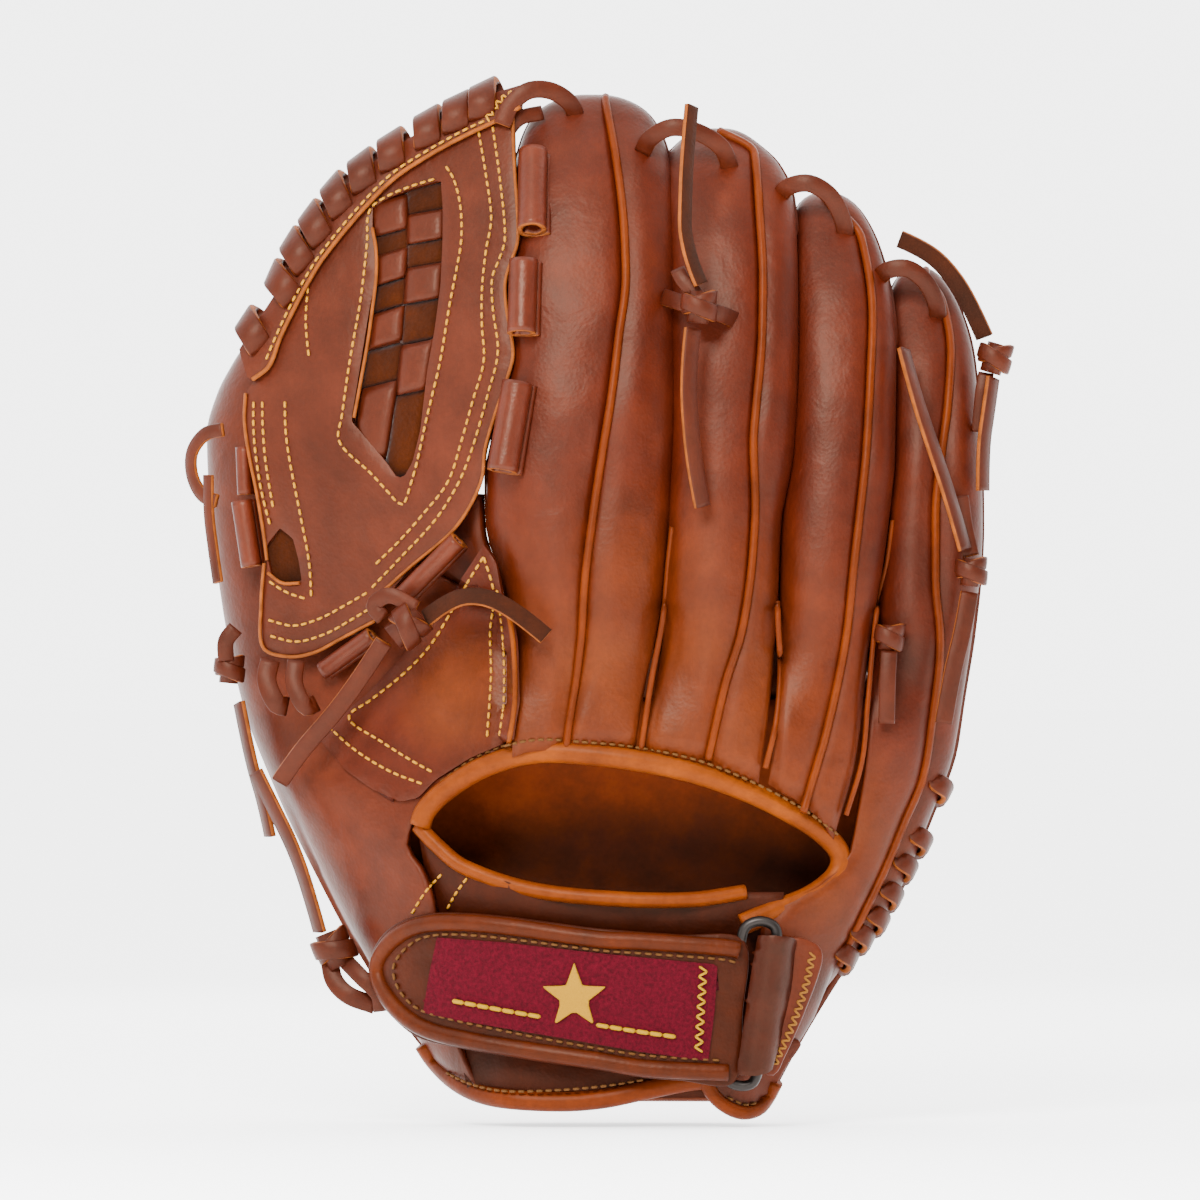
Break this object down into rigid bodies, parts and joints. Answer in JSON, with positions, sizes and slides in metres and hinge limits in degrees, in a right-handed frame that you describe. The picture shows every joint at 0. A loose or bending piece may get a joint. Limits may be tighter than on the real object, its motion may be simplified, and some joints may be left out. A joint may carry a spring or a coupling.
{
  "type": "baseball glove",
  "caption": "Leather fielding glove worn on the right hand: padded finger stalls, woven web on the thumb side, open back with a hook-and-loop wrist strap, rawhide lacing.",
  "frame": {"origin": "middle of the hand opening in the back of the glove, in the plane of the opening's centre", "axes": "+Z towards the fingertips, +X towards the little finger, +Y out of the palm (the back of the glove faces -Y)"},
  "size_m": [0.2492, 0.0986, 0.3225],
  "materials": {
    "shell_leather": "oiled steerhide, low sheen",
    "binding_leather": "oiled tan leather, low sheen",
    "lace_leather": "waxed rawhide lace",
    "lining_leather": "soft orange-brown lining leather",
    "suede": "rough flesh side",
    "pad_felt": "pressed felt",
    "stiffener_plastic": "moulded insert",
    "hook_and_loop": "hook-and-loop pile",
    "patch_suede": "dyed suede patch",
    "embroidery": "raised thread",
    "stitching": "waxed thread",
    "ring_metal": "dark nickel"
  },
  "bodies": {
    "hand": {"finger_linings": "lining_leather", "finger_welts": "binding_leather", "fingertip_laces": "lace_leather", "hand_knots": "lace_leather", "heel_binding": "binding_leather", "heel_lacing": "lace_leather", "index_back_inner": "shell_leather", "index_back_outer": "shell_leather", "index_front": "shell_leather", "middle_back_inner": "shell_leather", "middle_back_outer": "shell_leather", "middle_front": "shell_leather", "opening_binding": "binding_leather", "palm_leather": "shell_leather", "palm_lining": "lining_leather", "palm_pads": "pad_felt", "pinky_back_inner": "shell_leather", "pinky_back_outer": "shell_leather", "pinky_front": "shell_leather", "pinky_heel_back": "shell_leather", "ring_back_inner": "shell_leather", "ring_back_outer": "shell_leather", "ring_front": "shell_leather", "ring_keeper": "shell_leather", "strap_base": "shell_leather", "strap_loop_pad": "hook_and_loop", "tail_heel": "lace_leather", "tail_middle_down": "lace_leather", "tail_middle_up": "lace_leather", "tail_pinky_down": "lace_leather", "tail_pinky_up": "lace_leather", "tail_ring_end": "lace_leather", "tail_ring_long": "lace_leather", "thumb_heel_back": "shell_leather", "web_rolls": "shell_leather", "wrist_band": "shell_leather", "wrist_lining": "hook_and_loop"},
    "thumb": {"thumb_back": "shell_leather", "thumb_front": "shell_leather", "thumb_lining": "lining_leather", "thumb_stiffener": "stiffener_plastic", "gusset_panel": "shell_leather", "pocket_leather": "shell_leather", "web_back_panel": "shell_leather", "web_front_panel": "shell_leather", "web_weave": "suede", "web_top_band": "shell_leather", "web_edge_lace": "lace_leather", "thumb_knots": "lace_leather", "thumb_lace": "lace_leather", "tail_web_right": "lace_leather", "tail_web_left": "lace_leather", "tail_thumb": "lace_leather"},
    "ring": {"strap_ring": "ring_metal"},
    "strap": {"strap_tail": "shell_leather", "strap_binding": "binding_leather", "strap_patch": "patch_suede", "strap_emblem": "embroidery", "strap_hook_pad": "hook_and_loop"}
  },
  "joints": [
    {"name": "thumb_close", "type": "hinge", "parent": "hand", "child": "thumb", "pos_m": [-0.034, 0.008, 0], "axis": [0, 0, -1], "range_deg": [-3, 20], "stiffness_Nm_per_rad": 1.5},
    {"name": "ring_swing", "type": "hinge", "parent": "hand", "child": "ring", "pos_m": [0.0515, -0.0352, -0.0305], "axis": [0.1203, 0, 0.9927], "range_deg": [0, 20]},
    {"name": "strap_peel", "type": "hinge", "parent": "ring", "child": "strap", "pos_m": [0.0425, -0.0352, -0.0305], "axis": [0.1203, 0, 0.9927], "range_deg": [0, 120]}
  ]
}
